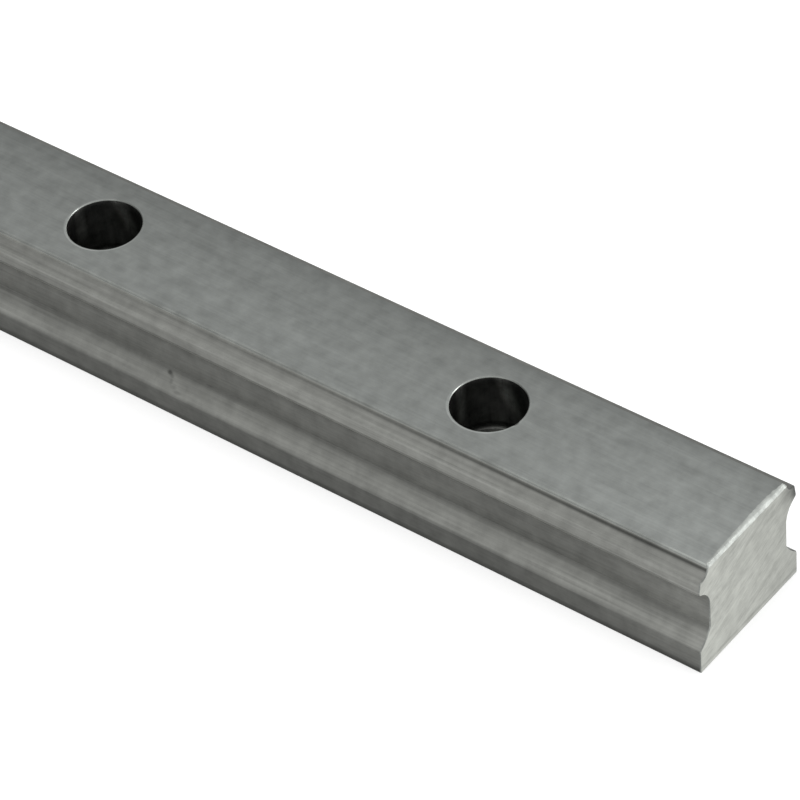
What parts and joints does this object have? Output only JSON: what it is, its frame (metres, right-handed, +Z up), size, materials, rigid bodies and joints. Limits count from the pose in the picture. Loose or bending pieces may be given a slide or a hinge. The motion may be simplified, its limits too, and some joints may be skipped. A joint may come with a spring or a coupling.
{
  "type": "linear guide rail",
  "caption": "Straight ground steel profile rail with ball grooves along both flanks and a row of counterbored screw holes through its top face.",
  "frame": {"origin": "centre of the bottom face, halfway along the rail", "axes": "+X along the rail, +Y across it, +Z up from the bottom face to the top face"},
  "size_m": [0.254, 0.02, 0.016],
  "materials": {
    "ground_steel": "satin, ground lengthwise, sawn and deburred ends"
  },
  "bodies": {
    "root": {"rail": "ground_steel"}
  },
  "joints": []
}
